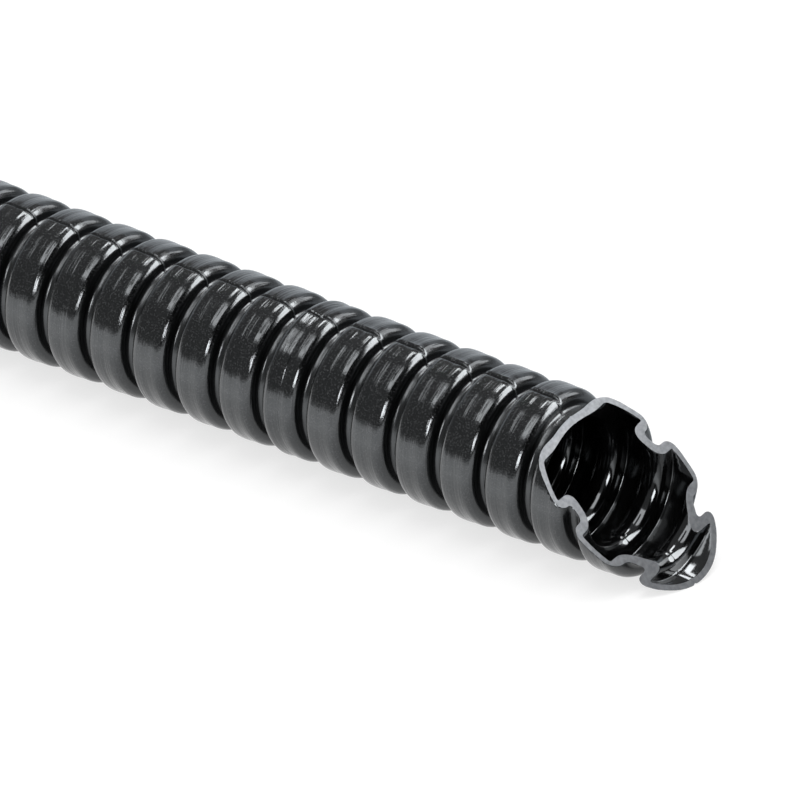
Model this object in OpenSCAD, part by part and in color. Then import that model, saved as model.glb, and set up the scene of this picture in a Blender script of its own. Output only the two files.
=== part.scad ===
// Corrugated conduit: one metre of annular, mould-corrugated plastic tube, lying along +X.
// The end at X = 0 is cut square through the middle of a valley, and the far end is
// cut at a slant through three ribs. All wall lines below are drawn as [X, radius].

/* [Tube] */
// Outside diameter over the crests
outer_d = 10; // [9:0.25:14]
// Length from the square end to the tip of the slanted end
length = 1000; // [250:50:1500]
// Distance from one crest to the next
pitch = 3.428; // [3.38:0.004:4.2]
// Width of a crest, shoulders included
crest_w = 2.52; // [2.2:0.02:2.56]
// Depth of a valley below the crests
valley_depth = 1.06; // [0.8:0.02:1.3]
// Width of a valley at its floor
floor_w = 0.84; // [0.74:0.02:0.9]

/* [Wall] */
// Wall thickness at the crests
crest_wall = 0.32; // [0.25:0.01:0.45]
// Wall thickness at the valley floors
valley_wall = 0.48; // [0.35:0.01:0.7]
// Wall thickness of the flanks between crest and valley
flank_wall = 0.44; // [0.3:0.01:0.5]

/* [Rounding] */
// Radius of the outside shoulders of a crest
shoulder_r = 0.46; // [0.3:0.02:0.56]
// Radius in the corners of the valley floor
floor_r = 0.3; // [0.14:0.02:0.3]
// Radius inside the hollow of a crest
hollow_r = 0.12; // [0.04:0.02:0.2]

/* [Mould block joint] */
// Ribs formed by one mould block, so every such rib carries a joint line
block_ribs = 18; // [10:1:40]
// Height by which the band before the joint line sits lower
joint_step = 0.08; // [0.02:0.01:0.12]
// Depth of the joint line below the crest
joint_depth = 0.2; // [0.14:0.02:0.26]
// Width of the joint line
joint_w = 0.16; // [0.1:0.02:0.3]
// Width of the lower band, measured from the start of the crest
joint_band = 1.4; // [0.8:0.04:1.6]

/* [Slanted end] */
// Slant of the cut, measured from a square cut
slant_angle = 45; // [0:1:50]
// Turn of the cut about the tube's axis, with the tip at the bottom at 0
slant_turn = 13; // [-180:1:180]

/* [Hidden] */
outer_r = outer_d / 2;
floor_level = outer_r - valley_depth;
bore_r = floor_level - valley_wall;
rib_count = ceil(length / pitch);
joint_rib = rib_count - 9;
flank_lean = atan((pitch - crest_w - floor_w) / 2 / valley_depth);
flank_run = flank_wall / cos(flank_lean);

// Points on an arc about (cx, cy), from angle a0 to angle a1, a step for every 0.4 mm of radius
function arc(cx, cy, r, a0, a1) =
    let (steps = ceil(r / 0.4))
    [for (i = [0:steps])
        let (a = a0 + (a1 - a0) * i / steps)
        [cx + r * cos(a), cy + r * sin(a)]];

// One side of a rib, from the valley floor up the leaning flank and over the shoulder,
// with the corners at X = foot and X = top rounded off
function side(low, high, foot, top, foot_round, top_round) =
    let (tangent = tan((90 - flank_lean) / 2))
    concat(
        arc(foot - foot_round * tangent, low + foot_round, foot_round, -90, -flank_lean),
        arc(top + top_round * tangent, high - top_round, top_round, 180 - flank_lean, 90));

// The same side mirrored across the middle of the rib
function mirrored(points) = [for (i = [len(points) - 1:-1:0]) [pitch - points[i].x, points[i].y]];

function shifted(points, x) = [for (p = points) [p.x + x, p.y]];

function has_joint(k) = (k - joint_rib) % block_ribs == 0;

outer_foot = floor_w / 2;
outer_top = (pitch - crest_w) / 2;
outer_side = side(floor_level, outer_r, outer_foot, outer_top, floor_r, shoulder_r);
low_side = side(floor_level, outer_r - joint_step, outer_foot, outer_top, floor_r, shoulder_r);
inner_side = side(bore_r, outer_r - crest_wall,
    outer_foot + flank_run - valley_wall * tan(flank_lean),
    outer_top + flank_run - crest_wall * tan(flank_lean),
    floor_r + flank_wall, hollow_r);

// Joint line: the low band ends in a narrow groove, and the full crest goes on behind it
joint_line = [
    [outer_top + joint_band - joint_w / 2, outer_r - joint_step],
    [outer_top + joint_band, outer_r - joint_depth],
    [outer_top + joint_band + joint_w / 2, outer_r]];

plain_rib = concat(outer_side, mirrored(outer_side));
joined_rib = concat(low_side, joint_line, mirrored(outer_side));
inner_rib = concat(inner_side, mirrored(inner_side));

tube_end = rib_count * pitch;
outer_line = concat([[0, floor_level]],
    [for (k = [0:rib_count - 1]) each shifted(has_joint(k) ? joined_rib : plain_rib, k * pitch)],
    [[tube_end, floor_level]]);
inner_line = concat([[0, bore_r]],
    [for (k = [0:rib_count - 1]) each shifted(inner_rib, k * pitch)],
    [[tube_end, bore_r]]);

// A block that takes away everything beyond the slanted cut
module slant_block() {
    reach = outer_d * 3;
    translate([length - outer_r * tan(slant_angle), 0, 0])
        rotate([slant_turn, 0, 0])
        rotate([0, -slant_angle, 0])
        translate([0, -reach, -reach])
        cube([reach, 2 * reach, 2 * reach]);
}

module conduit_tube() {
    wall = concat(outer_line, [for (i = [len(inner_line) - 1:-1:0]) inner_line[i]]);
    color([0.07, 0.07, 0.08])
        difference() {
            rotate([0, 90, 0])
                rotate_extrude($fn = 48)
                polygon([for (p = wall) [p.y, p.x]]);
            slant_block();
        }
}

conduit_tube();
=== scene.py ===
import math

import bmesh
import bpy
import numpy as np
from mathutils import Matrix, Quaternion, Vector


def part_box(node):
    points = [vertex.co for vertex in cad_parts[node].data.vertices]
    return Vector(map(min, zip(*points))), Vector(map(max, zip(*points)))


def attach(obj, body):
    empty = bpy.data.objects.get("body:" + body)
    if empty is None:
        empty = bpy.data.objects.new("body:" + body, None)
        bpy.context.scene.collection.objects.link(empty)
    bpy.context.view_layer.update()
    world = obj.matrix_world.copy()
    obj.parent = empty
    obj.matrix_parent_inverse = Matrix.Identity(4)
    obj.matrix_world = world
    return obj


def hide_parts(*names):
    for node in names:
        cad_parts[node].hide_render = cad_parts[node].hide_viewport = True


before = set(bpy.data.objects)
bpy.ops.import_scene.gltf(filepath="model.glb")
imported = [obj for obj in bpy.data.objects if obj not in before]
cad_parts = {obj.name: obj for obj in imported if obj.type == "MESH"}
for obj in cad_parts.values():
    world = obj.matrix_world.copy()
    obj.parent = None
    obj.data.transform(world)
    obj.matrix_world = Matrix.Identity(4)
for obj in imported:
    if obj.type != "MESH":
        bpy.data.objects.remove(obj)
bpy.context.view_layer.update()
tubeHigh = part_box("conduit_tube")[1]
outerRadius = tubeHigh.z
tubeLength = tubeHigh.x
mm = 0.001
draws = np.random.default_rng(11)

# The moulded wave and its joint lines, where one mould block met the next.
# Outlines are points (x, r), r being the distance from the tube's axis, and rib 0 starts at x = 0.
tube = {
    "pitch": 3.428 * mm,
    "crestWidth": 2.52 * mm,
    "valleyDepth": 1.06 * mm,
    "floorWidth": 0.84 * mm,
    "crestWall": 0.32 * mm,
    "valleyWall": 0.48 * mm,
    "flankWall": 0.44 * mm,
    "rearShoulder": 0.54 * mm,
    "frontShoulder": 0.74 * mm,
    "floorRound": 0.3 * mm,
    "hollowRound": 0.12 * mm,
    "blockRibs": 18,
    "ribsAfterJoint": 9,
    "jointDepth": 0.28 * mm,
    "jointWidth": 0.16 * mm,
    "jointBand": 1.4 * mm,
    "slantAngle": 45.0,
    "slantTurn": 13.0,
    "edgeWidth": 0.008 * mm,
    "bandFall": 0.15 * mm,
    "crestStep": 0.03 * mm,
    "stepStart": 0.25,
    "stepEnd": 0.62,
    "waveDepth": 0.006 * mm,
    "waveLength": 0.3 * mm,
    "waveStretch": (0.8, 1.25),
}

# Parting line, where the two halves of each mould block met. As shares of the valley's depth, flankShare
# is what the fin takes to grow, crestStart where the crest's traces start and crestShare what they take.
parting = {
    "turn": -6.0,
    "lineOffset": -0.1 * mm,
    "markedShift": 0.2 * mm,
    "lineDepth": 0.15 * mm,
    "lineWidth": 0.075 * mm,
    "dishDepth": 0.045 * mm,
    "dishUpper": 0.15 * mm,
    "dishLower": 0.22 * mm,
    "lipHeight": 0.022 * mm,
    "lipOffset": 0.38 * mm,
    "lipWidth": 0.07 * mm,
    "lowerShare": 0.3,
    "finHeight": 0.06 * mm,
    "finWidth": 0.09 * mm,
    "finOnFloor": 0.35,
    "flankShare": 0.1,
    "crestStart": 0.62,
    "crestShare": 0.3,
    "innerStep": 0.025 * mm,
    "innerSteep": 0.06 * mm,
    "innerFade": 0.22 * mm,
    "columnGap": 0.032 * mm,
    "columnsEachSide": 15,
}

ribCount = math.ceil(tubeLength / tube["pitch"] - 1e-6)  # less a hair against rounding up
jointRib = ribCount - tube["ribsAfterJoint"]
floorRadius = outerRadius - tube["valleyDepth"]
boreRadius = floorRadius - tube["valleyWall"]
flankLean = math.atan(
    (tube["pitch"] - tube["crestWidth"] - tube["floorWidth"]) / 2 / tube["valleyDepth"]
)
flankRun = tube["flankWall"] / math.cos(flankLean)
outerFoot = tube["floorWidth"] / 2
outerTop = (tube["pitch"] - tube["crestWidth"]) / 2


# Points (x, r) on an arc about a centre, from one angle to another
def arcPoints(centreX, centreR, radius, start, end, steps):
    angles = np.radians(np.linspace(start, end, steps + 1))
    return np.column_stack(
        [centreX + radius * np.cos(angles), centreR + radius * np.sin(angles)]
    )


# One side of a rib: a fillet arc out of the valley floor, the leaning flank, and the shoulder's arc
def sidePoints(low, high, foot, top, footRound, topRound, steps):
    lean = math.degrees(flankLean)
    tangent = math.tan(math.radians((90 - lean) / 2))
    return np.vstack(
        [
            arcPoints(foot - footRound * tangent, low + footRound, footRound, -90, -lean, steps[0]),
            arcPoints(top + topRound * tangent, high - topRound, topRound, 180 - lean, 90, steps[1]),
        ]
    )


# The same side at the far end of the rib: x becomes the pitch less x, in reverse order
def mirroredPoints(points):
    return np.column_stack([tube["pitch"] - points[::-1, 0], points[::-1, 1]])


def hasJoint(rib):
    return (rib - jointRib) % tube["blockRibs"] == 0


# Every other mould block closes on a groove in a shallow dish, the rest on a fine groove alone
def isMarked(rib):
    return (rib - jointRib - 1) // tube["blockRibs"] % 2 == 0


# Outer line of one rib, from valley centre up to the next valley centre, which is left out.
# The crest steps down by half a cosine wave of x towards its front shoulder and carries a shallow one of x.
# On a joint rib it falls evenly to the joint line, a narrow groove, and is level past it. A second point
# close to each lip of the groove keeps the lips sharp under smooth shading.
def outerRib(rib, steps, crestSteps):
    left = sidePoints(
        floorRadius, outerRadius, outerFoot, outerTop, tube["floorRound"], tube["rearShoulder"], steps
    )
    low = outerRadius - tube["crestStep"] * (crestSteps > 0)
    right = mirroredPoints(
        sidePoints(floorRadius, low, outerFoot, outerTop, tube["floorRound"], tube["frontShoulder"], steps)
    )
    start, end = left[-1, 0], right[0, 0]
    if hasJoint(rib):
        line = outerTop + tube["jointBand"]
        half = tube["jointWidth"] / 2
        xs = np.linspace(start, line - half, max(crestSteps, 2) + 1)[1:]
        fall = tube["bandFall"] * (xs - start) / (line - half - start)
        band = np.column_stack([xs, outerRadius - fall])
        band = np.insert(band, -1, band[-1] - [tube["edgeWidth"], 0], axis=0)
        deep = outerRadius - tube["jointDepth"]
        groove = [[line - half / 2, deep], [line + half / 2, deep]]
        landEnd = line + half * 2
        lands = [[line + half, low], [line + half + tube["edgeWidth"], low], [landEnd, low]]
        front = right[right[:, 0] > landEnd]
        return np.vstack([[[0, floorRadius]], left, band, groove, lands, front]) + [rib * tube["pitch"], 0]
    crest = np.zeros((0, 2))
    if crestSteps:
        xs = np.linspace(start, end, crestSteps + 1)[1:-1]
        phase = draws.uniform(0, 2 * math.pi)
        stretch = draws.uniform(*tube["waveStretch"])
        share = (xs - start) / (end - start)
        ramp = np.clip((share - tube["stepStart"]) / (tube["stepEnd"] - tube["stepStart"]), 0, 1)
        fall = tube["crestStep"] * (0.5 - 0.5 * np.cos(math.pi * ramp))
        wave = 0.5 - 0.5 * np.cos(2 * math.pi * (xs - start) / (tube["waveLength"] * stretch) + phase)
        crest = np.column_stack([xs, outerRadius - fall - tube["waveDepth"] * np.sin(math.pi * share) * wave])
    return np.vstack([[[0, floorRadius]], left, crest, right]) + [rib * tube["pitch"], 0]


# Inner line of one rib: the same wave set in by the wall's thicknesses, with tight corners in the hollow
def innerRib(rib, steps):
    side = sidePoints(
        boreRadius, outerRadius - tube["crestWall"],
        outerFoot + flankRun - tube["valleyWall"] * math.tan(flankLean),
        outerTop + flankRun - tube["crestWall"] * math.tan(flankLean),
        tube["floorRound"] + tube["flankWall"], tube["hollowRound"], steps,
    )
    return np.vstack([[[0, boreRadius]], side, mirroredPoints(side)]) + [rib * tube["pitch"], 0]


# Angles of the columns from the top: evenly spaced, or where the tube is fine, closer together
# at the two parting lines
def columnAngles(plain, fine):
    partingTurn = math.radians(parting["turn"])
    if not fine:
        return np.linspace(0, 2 * math.pi, plain, endpoint=False) + partingTurn
    offsets = np.arange(-parting["columnsEachSide"], parting["columnsEachSide"] + 1)
    gap = parting["columnGap"] / outerRadius
    edge = gap * parting["columnsEachSide"]
    found = []
    for turn in (0, math.pi):
        found.append(turn + offsets * gap)
        found.append(np.linspace(turn + edge, turn + math.pi - edge, plain // 2 + 2)[1:-1])
    return np.concatenate(found) + partingTurn


# Bell curve: e to the minus square of distance over width
def bell(distance, width):
    return np.exp(-((distance / width) ** 2))


# Distance along the arc from the nearer parting line: the angle from it, wrapped to a quarter turn
# each way, times the radius
def lineDistance(angles):
    turned = angles - math.radians(parting["turn"])
    return (np.mod(turned + math.pi / 2, math.pi) - math.pi / 2) * outerRadius


# Height of the parting line's traces over the plain surface, as sums of bell curves of the arc distance
# from the line: a fine groove in every crest, on the marked blocks in a wider dish with a lip above it,
# and a fin on flanks and floors
def partingHeight(points, angles, marked):
    distance = lineDistance(angles)[None, :]
    rise = np.clip((points[:, 1] - floorRadius) / (outerRadius - floorRadius), 0, 1)[:, None]
    onCrest = np.clip((rise - parting["crestStart"]) / parting["crestShare"], 0, 1)
    onFlank = np.clip(rise / parting["flankShare"], 0, 1) * (1 - onCrest)
    fromLine = distance - parting["lineOffset"] - marked[:, None] * parting["markedShift"]
    dishWidth = np.where(fromLine > 0, parting["dishUpper"], parting["dishLower"])
    line = parting["lineDepth"] * bell(fromLine, parting["lineWidth"])
    dish = parting["dishDepth"] * bell(fromLine, dishWidth)
    lip = parting["lipHeight"] * bell(distance - parting["lipOffset"], parting["lipWidth"])
    fin = parting["finHeight"] * bell(distance, parting["finWidth"])
    shown = np.where(np.cos(angles) > 0, 1.0, parting["lowerShare"])[None, :]
    inValley = (parting["finOnFloor"] + (1 - parting["finOnFloor"]) * onFlank) * (1 - onCrest)
    return shown * (onCrest * (marked[:, None] * (lip - dish) - line) + inValley * fin)


# Inside, the parting line stands proud of the wall as a low step: a narrow bell curve on one side of it
# and a wide one on the other
def innerTrace(angles):
    distance = lineDistance(angles)
    steep = bell(distance, parting["innerSteep"])
    fade = bell(distance, parting["innerFade"])
    return parting["innerStep"] * np.where(distance < 0, steep, fade)


outerSlot, cutSlot, innerSlot = 0, 1, 2


# A closed length of tube: two grids of rings of radius r at x, outer and inner, joined by a flat ring
# at each end. A point at angle a from the top is (x, r sin a, r cos a), moved along the wave's own normal
# by the parting line's height.
def tubePiece(name, firstRib, lastRib, plain, steps, innerSteps, crestSteps, finishes):
    angles = columnAngles(plain, crestSteps > 0)
    ribs = range(firstRib, lastRib + 1)
    outerParts = [outerRib(k, steps, crestSteps) for k in ribs]
    marked = np.concatenate([np.full(len(p), isMarked(k), float) for k, p in zip(ribs, outerParts)])
    end = (lastRib + 1) * tube["pitch"]
    outer = np.vstack([*outerParts, [[end, floorRadius]]])
    marked = np.append(marked, isMarked(lastRib))
    inner = np.vstack([*[innerRib(k, innerSteps) for k in ribs], [[end, boreRadius]]])

    along = np.gradient(outer, axis=0)
    along /= np.linalg.norm(along, axis=1)[:, None]
    normal = np.column_stack([-along[:, 1], along[:, 0]])
    height = partingHeight(outer, angles, marked) * (crestSteps > 0)
    height[[0, -1]] = 0
    outerX = outer[:, 0][:, None] + height * normal[:, 0][:, None]
    outerR = np.minimum(outer[:, 1][:, None] + height * normal[:, 1][:, None], outerRadius)
    innerX = np.repeat(inner[:, 0][:, None], len(angles), 1)
    innerR = inner[:, 1][:, None] - innerTrace(angles)[None, :] * (crestSteps > 0)
    innerR[[0, -1]] = boreRadius

    xs = np.vstack([outerX, innerX])
    rs = np.vstack([outerR, innerR])
    verts = np.stack([xs, rs * np.sin(angles), rs * np.cos(angles)], axis=-1).reshape(-1, 3)

    columns = len(angles)
    j = np.arange(columns)
    nextJ = (j + 1) % columns

    def quads(rowA, rowB):
        a, b = rowA[:, None] * columns, rowB[:, None] * columns
        return np.stack([a + j, b + j, b + nextJ, a + nextJ], axis=-1).reshape(-1, 4)

    outerRows = np.arange(len(outer) - 1)
    innerRows = np.arange(len(inner) - 1) + len(outer)
    lastOuter = np.array([len(outer) - 1])
    lastInner = np.array([len(outer) + len(inner) - 1])
    walls = np.vstack([quads(outerRows, outerRows + 1), quads(innerRows + 1, innerRows)])
    nearRing = quads(np.array([len(outer)]), np.array([0]))
    farRing = quads(lastOuter, lastInner)
    faces = np.vstack([walls, nearRing, farRing])
    nearSlot = cutSlot if firstRib == 0 else outerSlot
    rowCounts = [len(outerRows), len(innerRows), 1, 1]
    slots = np.repeat([outerSlot, innerSlot, nearSlot, outerSlot], np.multiply(rowCounts, columns))
    smooth = np.repeat([True, False], [len(walls), 2 * columns])

    mesh = bpy.data.meshes.new(name)
    mesh.vertices.add(len(verts))
    mesh.vertices.foreach_set("co", verts.astype(np.float32).ravel())
    mesh.loops.add(faces.size)
    mesh.loops.foreach_set("vertex_index", faces.astype(np.int32).ravel())
    mesh.polygons.add(len(faces))
    mesh.polygons.foreach_set("loop_start", np.arange(0, faces.size, 4, dtype=np.int32))
    mesh.polygons.foreach_set("material_index", slots.astype(np.int32))
    mesh.polygons.foreach_set("use_smooth", smooth)
    mesh.update(calc_edges=True)
    mesh.validate()
    for finish in finishes:
        mesh.materials.append(finish)
    piece = bpy.data.objects.new(name, mesh)
    bpy.context.scene.collection.objects.link(piece)
    return piece


mergeDistance = 1e-8


# Takes away what lies beyond the slanted plane and closes the wall there with flat faces
def cutSlanted(piece):
    slant = math.radians(tube["slantAngle"])
    turn = math.radians(tube["slantTurn"])
    normal = Vector((math.cos(slant), -math.sin(slant) * math.sin(turn), math.sin(slant) * math.cos(turn)))
    point = Vector((tubeLength - outerRadius * math.tan(slant), 0, 0))
    bm = bmesh.new()
    bm.from_mesh(piece.data)
    found = bmesh.ops.bisect_plane(
        bm, geom=bm.verts[:] + bm.edges[:] + bm.faces[:],
        dist=mergeDistance, plane_co=point, plane_no=normal, clear_outer=True,
    )
    edges = [e for e in found["geom_cut"] if isinstance(e, bmesh.types.BMEdge)]
    made = bmesh.ops.triangle_fill(bm, use_beauty=True, use_dissolve=False, edges=edges, normal=normal)
    caps = [f for f in made["geom"] if isinstance(f, bmesh.types.BMFace)]
    for face in caps:
        face.material_index = cutSlot
        face.smooth = False
        if face.normal.dot(normal) < 0:
            face.normal_flip()
    bm.to_mesh(piece.data)
    bm.free()


def nodeMaterial(name):
    material = bpy.data.materials.new(name)
    material.use_nodes = True
    nodes = material.node_tree.nodes
    return material, nodes, material.node_tree.links, nodes["Principled BSDF"]


# Noise whose scale is given apart along X, Y and Z, so that it can be drawn out into lines
def noiseNode(nodes, links, coordinates, scale, detail):
    mapping = nodes.new("ShaderNodeMapping")
    mapping.inputs["Scale"].default_value = scale
    noise = nodes.new("ShaderNodeTexNoise")
    noise.inputs["Scale"].default_value = 1.0
    noise.inputs["Detail"].default_value = detail
    links.new(coordinates.outputs["Object"], mapping.inputs["Vector"])
    links.new(mapping.outputs["Vector"], noise.inputs["Vector"])
    return noise.outputs["Fac"]


# Carries a value over from one range to another and holds it at the ends
def rangeNode(nodes, links, value, source, target):
    node = nodes.new("ShaderNodeMapRange")
    node.inputs["From Min"].default_value = source[0]
    node.inputs["From Max"].default_value = source[1]
    node.inputs["To Min"].default_value = target[0]
    node.inputs["To Max"].default_value = target[1]
    links.new(value, node.inputs["Value"])
    return node.outputs["Result"]


def mixNode(nodes, links, factor, colour, otherColour):
    mix = nodes.new("ShaderNodeMix")
    mix.data_type = "RGBA"
    mix.inputs["A"].default_value = colour
    mix.inputs["B"].default_value = otherColour
    links.new(factor, mix.inputs["Factor"])
    return mix


# A bump laid over the one under it
def bumpNode(nodes, links, height, distance, under=None):
    bump = nodes.new("ShaderNodeBump")
    bump.inputs["Strength"].default_value = 1.0
    bump.inputs["Distance"].default_value = distance
    links.new(height, bump.inputs["Height"])
    if under:
        links.new(under, bump.inputs["Normal"])
    return bump.outputs["Normal"]


cloudRange = (0.3, 0.7)  # the part of a noise's range that the cloudy colours spread over

plastic = {
    "colour": (0.0015, 0.0016, 0.0017, 1),
    "speckColour": (0.032, 0.033, 0.034, 1),
    "tint": (0.92, 0.965, 1.0, 1),
    "roughCrest": 0.13,
    "roughValley": 0.24,
    # between these distances the valleys' plain, darker colour (painted shade) gives way to the crests'
    # specks
    "polishAndValleyShade": (4.45 * mm, 4.8 * mm),  # distances from the axis between which the finish changes
    "ior": 1.5,
    "specks": (8500, 8500, 8500),
    "speckRange": (0.5, 0.75),
    # scale along X, Y and Z, and height
    "streaks": ((2800, 160, 160), 0.024 * mm),
    "lines": ((8000, 240, 240), 0.024 * mm),
    "peel": ((2200, 2200, 2200), 0.006 * mm),
    "grain": ((9000, 9000, 9000), 0.004 * mm),
}

# the inner colours are set near black as painted shade inside the tube; their cloudy spread is the plastic's
# own tone
innerPlastic = {
    "colour": (0.001, 0.001, 0.0011, 1),
    "paleColour": (0.003, 0.003, 0.0032, 1),
    "cloud": (900, 900, 900),
    "rough": 0.1,
    "ripple": ((500, 900, 900), 0.02 * mm),
}


# Glossy and faintly specked on the crests, where the mould was polished, and duller down in the valleys,
# where the colour is
# # left plain and darker as painted shade: both follow the distance from the tube's axis
def blackPlastic():
    material, nodes, links, shader = nodeMaterial("blackPlastic")
    place = nodes.new("ShaderNodeTexCoord")
    flatten = nodes.new("ShaderNodeVectorMath")
    flatten.operation = "MULTIPLY"
    flatten.inputs[1].default_value = (0, 1, 1)
    length = nodes.new("ShaderNodeVectorMath")
    length.operation = "LENGTH"
    links.new(place.outputs["Object"], flatten.inputs[0])
    links.new(flatten.outputs["Vector"], length.inputs[0])
    fromAxis = length.outputs["Value"]

    specks = noiseNode(nodes, links, place, plastic["specks"], detail=2)
    # the specks show only on the crests, so the valleys keep the plain darkest colour as painted shade
    share = nodes.new("ShaderNodeMath")
    share.operation = "MULTIPLY"
    links.new(rangeNode(nodes, links, specks, plastic["speckRange"], (0, 1)), share.inputs[0])
    links.new(rangeNode(nodes, links, fromAxis, plastic["polishAndValleyShade"], (0, 1)), share.inputs[1])
    tint = mixNode(nodes, links, share.outputs["Value"], plastic["colour"], plastic["speckColour"])
    links.new(tint.outputs["Result"], shader.inputs["Base Color"])

    finish = (plastic["roughValley"], plastic["roughCrest"])
    links.new(rangeNode(nodes, links, fromAxis, plastic["polishAndValleyShade"], finish), shader.inputs["Roughness"])
    shader.inputs["IOR"].default_value = plastic["ior"]
    shader.inputs["Specular Tint"].default_value = plastic["tint"]
    normal = None
    for relief in ("streaks", "lines", "peel", "grain"):
        scale, height = plastic[relief]
        noise = noiseNode(nodes, links, place, scale, detail=2)
        normal = bumpNode(nodes, links, noise, height, normal)
    links.new(normal, shader.inputs["Normal"])
    return material


# Inside, the wall cooled free of the mould: smooth, with a soft ripple, and coloured near black as painted
# shade inside the tube
def innerSkin():
    material, nodes, links, shader = nodeMaterial("innerPlastic")
    place = nodes.new("ShaderNodeTexCoord")
    rippleScale, rippleHeight = innerPlastic["ripple"]
    cloud = noiseNode(nodes, links, place, innerPlastic["cloud"], detail=3)
    ripple = noiseNode(nodes, links, place, rippleScale, detail=2)
    paleness = rangeNode(nodes, links, cloud, cloudRange, (0, 1))
    tint = mixNode(nodes, links, paleness, innerPlastic["colour"], innerPlastic["paleColour"])
    links.new(tint.outputs["Result"], shader.inputs["Base Color"])
    shader.inputs["Roughness"].default_value = innerPlastic["rough"]
    shader.inputs["IOR"].default_value = plastic["ior"]
    shader.inputs["Specular Tint"].default_value = plastic["tint"]
    links.new(bumpNode(nodes, links, ripple, rippleHeight), shader.inputs["Normal"])
    return material


cutPlastic = {
    "colour": (0.31, 0.323, 0.343, 1),
    "paleColour": (0.48, 0.499, 0.526, 1),
    "cloud": (3600, 3600, 3600),
    "tipShade": (0.36, 0.36, 0.36, 1),
    "tipRange": (0.991, 0.9978),  # metres along X between which the face darkens
    "rough": 0.5,
    "scratches": ((900, 5200, 900), 0.03 * mm),
}


# The sawn faces: pale, matt and cloudy, darker towards the tip, with the scratches of the blade
def cutFace():
    material, nodes, links, shader = nodeMaterial("cutPlastic")
    place = nodes.new("ShaderNodeTexCoord")
    scratchScale, scratchHeight = cutPlastic["scratches"]
    scratches = noiseNode(nodes, links, place, scratchScale, detail=3)
    cloud = noiseNode(nodes, links, place, cutPlastic["cloud"], detail=5)
    paleness = rangeNode(nodes, links, cloud, cloudRange, (0, 1))
    tint = mixNode(nodes, links, paleness, cutPlastic["colour"], cutPlastic["paleColour"])
    split = nodes.new("ShaderNodeSeparateXYZ")
    links.new(place.outputs["Object"], split.inputs["Vector"])
    towardsTip = rangeNode(nodes, links, split.outputs["X"], cutPlastic["tipRange"], (0, 1))
    shaded = mixNode(nodes, links, towardsTip, cutPlastic["colour"], cutPlastic["tipShade"])
    shaded.blend_type = "MULTIPLY"
    links.new(tint.outputs["Result"], shaded.inputs["A"])
    links.new(shaded.outputs["Result"], shader.inputs["Base Color"])
    shader.inputs["Roughness"].default_value = cutPlastic["rough"]
    shader.inputs["Specular IOR Level"].default_value = 0.0
    links.new(bumpNode(nodes, links, scratches, scratchHeight), shader.inputs["Normal"])
    return material


finishes = [blackPlastic(), cutFace(), innerSkin()]
print("made", len(finishes), "materials")

# First rib, last rib, plain columns, steps of the outer arcs (fillet, shoulder), steps of the inner arcs,
# steps across a crest, where 0 leaves the traces of the moulding out
squareRibs, ribsBeforeJoint, longRuns = 5, 12, 4
lengths = {
    "squareEnd": (0, squareRibs - 1, 72, (4, 7), (5, 3), 12),
    "jointLength": (jointRib - ribsBeforeJoint, jointRib, 76, (3, 7), (3, 2), 12),
    "slantedEnd": (jointRib + 1, ribCount - 1, 80, (5, 8), (7, 4), 14),
}
runs = np.linspace(squareRibs, jointRib - ribsBeforeJoint, longRuns + 1).astype(int).tolist()
for number in range(longRuns):
    lengths[f"longRun{number + 1}"] = (runs[number], runs[number + 1] - 1, 44, (2, 3), (1, 1), 0)

for name, values in lengths.items():
    piece = tubePiece(name, *values, finishes)
    if name == "slantedEnd":
        cutSlanted(piece)
    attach(piece, "root")
    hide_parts("conduit_tube")
    print("made", name, "with", sum(len(p.vertices) - 2 for p in piece.data.polygons), "triangles")


def flatSheet(name, corners):
    mesh = bpy.data.meshes.new(name)
    mesh.from_pydata(corners, [], [(0, 1, 2, 3)])
    sheet = bpy.data.objects.new(name, mesh)
    bpy.context.scene.collection.objects.link(sheet)
    return sheet


# Corners of a level sheet that reaches as far to both sides along X
def levelCorners(reach, nearY, farY, z):
    return [(-reach, nearY, z), (reach, nearY, z), (reach, farY, z), (-reach, farY, z)]


floorPaper = {"reach": 60, "colour": (0.3, 0.3, 0.3, 1), "glow": 0.715, "rough": 0.9}
floorReach = floorPaper["reach"]
floor = flatSheet("floor", levelCorners(floorReach, -floorReach, floorReach, -outerRadius))
floorMaterial, _, _, floorShader = nodeMaterial("floorPaper")
floorShader.inputs["Base Color"].default_value = floorPaper["colour"]
floorShader.inputs["Emission Color"].default_value = (1, 1, 1, 1)
floorShader.inputs["Emission Strength"].default_value = floorPaper["glow"]
floorShader.inputs["Specular IOR Level"].default_value = 0.0
floorShader.inputs["Roughness"].default_value = floorPaper["rough"]
floor.data.materials.append(floorMaterial)
print("made the floor")

aim = Vector((tubeLength * 0.95, 0, 0))  # on the axis, near the slanted end

# Upright lamps: azimuth from +X towards +Y, elevation and distance seen from the aim, roll, shape, width,
# height and radiance
uprightLamps = {
    "keyBox": (38, 34, 3.0, -30, "ELLIPSE", 1.6, 2.8, 17.0),
    "sideBox": (70, 30, 3.1, 0, "RECTANGLE", 1.0, 2.0, 3.8),
    "lowStrip": (-46, 17, 3.0, 0, "RECTANGLE", 0.9, 0.85, 25.0),
}
# Lamps that hang flat overhead: centre from the aim, size in X, size in Y and radiance
hangingLamps = {
    "fillBox": (0.0, 0.0, 3.0, 0.8, 2.8, 5.2),
    "frontBox": (0.4, -1.1, 3.0, 2.8, 2.1, 7.0),
    "rearBox": (-0.4, 1.2, 3.0, 1.2, 0.95, 20.0),
}


# The point at that distance from the aim: the cosines and the sine of its two angles
def pointAt(azimuth, elevation, distance):
    a, e = math.radians(azimuth), math.radians(elevation)
    return aim + distance * Vector((math.cos(a) * math.cos(e), math.sin(a) * math.cos(e), math.sin(e)))


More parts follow.
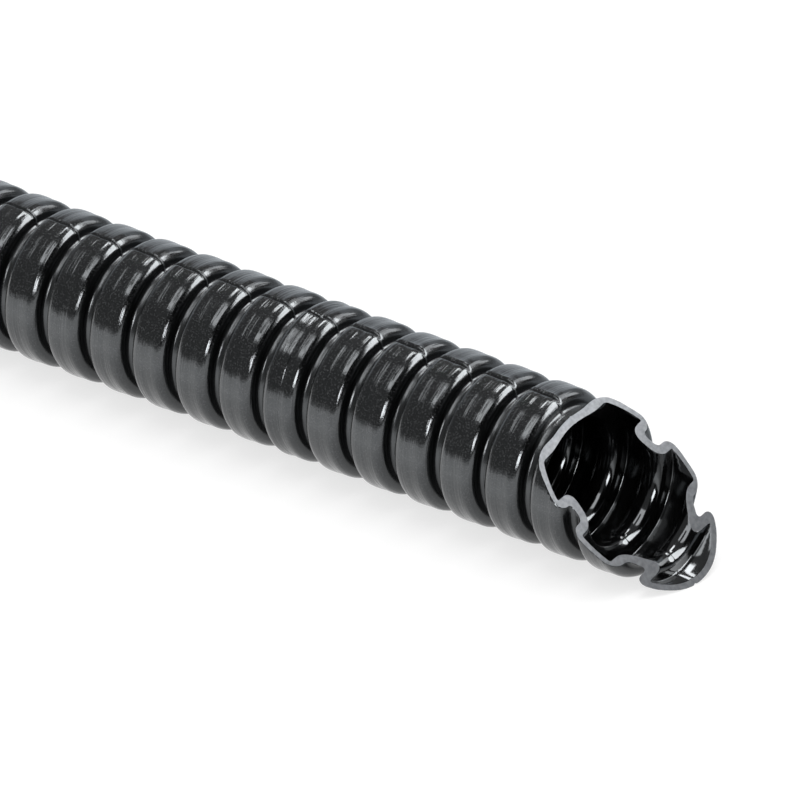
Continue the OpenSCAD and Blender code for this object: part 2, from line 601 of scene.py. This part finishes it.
# The fill lights the object and throws the floor's shadow; the others are boxes that show in the gloss alone.
# Power is radiance times pi times area, and an ellipse has pi / 4 of the area of the box round it.
def addLamp(name, location, shape, width, height, radiance):
    areaShare = math.pi / 4 if shape == "ELLIPSE" else 1
    light = bpy.data.lights.new(name, "AREA")
    light.shape = shape
    light.size = width
    light.size_y = height
    light.energy = radiance * math.pi * width * height * areaShare
    lamp = bpy.data.objects.new(name, light)
    lamp.location = location
    lamp.visible_camera = False
    lamp.visible_diffuse = name == "fillBox"
    lamp.visible_glossy = name != "fillBox"
    bpy.context.scene.collection.objects.link(lamp)
    return lamp


for name, (azimuth, elevation, distance, roll, shape, width, height, radiance) in uprightLamps.items():
    lamp = addLamp(name, pointAt(azimuth, elevation, distance), shape, width, height, radiance)
    turn = Quaternion((0, 0, 1), math.radians(roll))
    lamp.rotation_euler = ((aim - lamp.location).to_track_quat("-Z", "Y") @ turn).to_euler()
for name, (x, y, z, width, height, radiance) in hangingLamps.items():
    addLamp(name, aim + Vector((x, y, z)), "RECTANGLE", width, height, radiance)
print("hung", len(uprightLamps) + len(hangingLamps), "lamps")


# A flat sheet that shows only in the gloss. Its glow runs from one value to the other between two places
# on an axis.
def glowSheet(name, corners, axis, places, glows, tint=(1, 1, 1, 1)):
    sheet = flatSheet(name, corners)
    material, nodes, links, shader = nodeMaterial(name + "Paper")
    shader.inputs["Base Color"].default_value = (0, 0, 0, 1)
    shader.inputs["Specular IOR Level"].default_value = 0.0
    shader.inputs["Emission Color"].default_value = tint
    place = nodes.new("ShaderNodeTexCoord")
    split = nodes.new("ShaderNodeSeparateXYZ")
    links.new(place.outputs["Object"], split.inputs["Vector"])
    glow = rangeNode(nodes, links, split.outputs[axis], places, glows)
    links.new(glow, shader.inputs["Emission Strength"])
    sheet.data.materials.append(material)
    sheet.visible_camera = False
    sheet.visible_diffuse = False
    sheet.visible_shadow = False


# White cards standing behind the tube: azimuth, width, elevation of the top, glow low down and high up,
# and the elevations between which the glow changes
cards = {
    "backCard": (150, 12.0, 33, (1.08, 1.2), (0, 20)),
    "sideCard": (88, 7.5, 36, (0.45, 1.1), (8, 27)),
}
cardDistance = 8
coolTint = (0.88, 0.94, 1.0, 1)
for name, (azimuth, width, top, glows, change) in cards.items():
    foot = pointAt(azimuth, 0, cardDistance)
    base = Vector((foot.x, foot.y, -outerRadius))
    turned = math.radians(azimuth)
    side = Vector((-math.sin(turned), math.cos(turned), 0)) * width / 2
    low, high, topHeight = [cardDistance * math.tan(math.radians(e)) for e in (*change, top)]
    rise = Vector((0, 0, topHeight))
    corners = [base - side, base + side, base + side + rise, base - side + rise]
    glowSheet(name, corners, "Z", (low, high), glows, coolTint)

# Mats lying just over the floor, behind and in front of the tube: edges in Y, the places in Y between which
# the glow changes, the glow there, and the tint
# both mats glow less towards the tube: a painted shadow of the tube on the floor, as it shows in the gloss
mats = {
    "backMat": ((outerRadius, 60), (0, 0.12), (0.8, 0.95), coolTint),
    "frontMat": ((-75 * mm, 0), (-13 * mm, 0), (2.65, 0.5), (1, 1, 1, 1)),
}
matReach = 30
matZ = 0.3 * mm - outerRadius
for name, ((nearY, farY), places, glows, tint) in mats.items():
    glowSheet(name, levelCorners(matReach, nearY, farY, matZ), "Y", places, glows, tint)

# A black flag out beyond the slanted end, across the tube's axis
flag = {"distance": 8, "halfWidth": 14, "top": 9}
edges = [(-1, -outerRadius), (1, -outerRadius), (1, flag["top"]), (-1, flag["top"])]
flagCorners = [(flag["distance"], side * flag["halfWidth"], z) for side, z in edges]
glowSheet("darkFlag", flagCorners, "Z", (0, 1), (0.0, 0.0))
print("set up", len(cards), "cards,", len(mats), "mats and a flag")

# White where the camera sees it, dimmer in the gloss, and an even light on the rest
surroundings = {"plain": (0.9, 0.9, 0.9, 1), "inGloss": (0.45, 0.45, 0.45, 1), "seen": (1, 1, 1, 1)}
world = bpy.data.worlds.new("world")
bpy.context.scene.world = world
world.use_nodes = True
nodes, links = world.node_tree.nodes, world.node_tree.links
path = nodes.new("ShaderNodeLightPath")
gloss = mixNode(nodes, links, path.outputs["Is Glossy Ray"], surroundings["plain"], surroundings["inGloss"])
shade = mixNode(nodes, links, path.outputs["Is Camera Ray"], surroundings["plain"], surroundings["seen"])
links.new(gloss.outputs["Result"], shade.inputs["A"])
links.new(shade.outputs["Result"], nodes["Background"].inputs["Color"])

view = {
    "sensorWidth": 36,
    "lens": 436.2,
    "near": 0.02,
    "far": 200,
    "location": (1.29836, -0.41604, 0.2806),
    "direction": (-0.53876, 0.69894, -0.47034),
}
camera = bpy.data.objects.new("camera", bpy.data.cameras.new("camera"))
camera.data.sensor_width = view["sensorWidth"]
camera.data.lens = view["lens"]
camera.data.clip_start = view["near"]
camera.data.clip_end = view["far"]
camera.location = view["location"]
camera.rotation_euler = Vector(view["direction"]).to_track_quat("-Z", "Y").to_euler()
bpy.context.scene.collection.objects.link(camera)
bpy.context.scene.camera = camera
bpy.context.scene.view_settings.view_transform = "Standard"
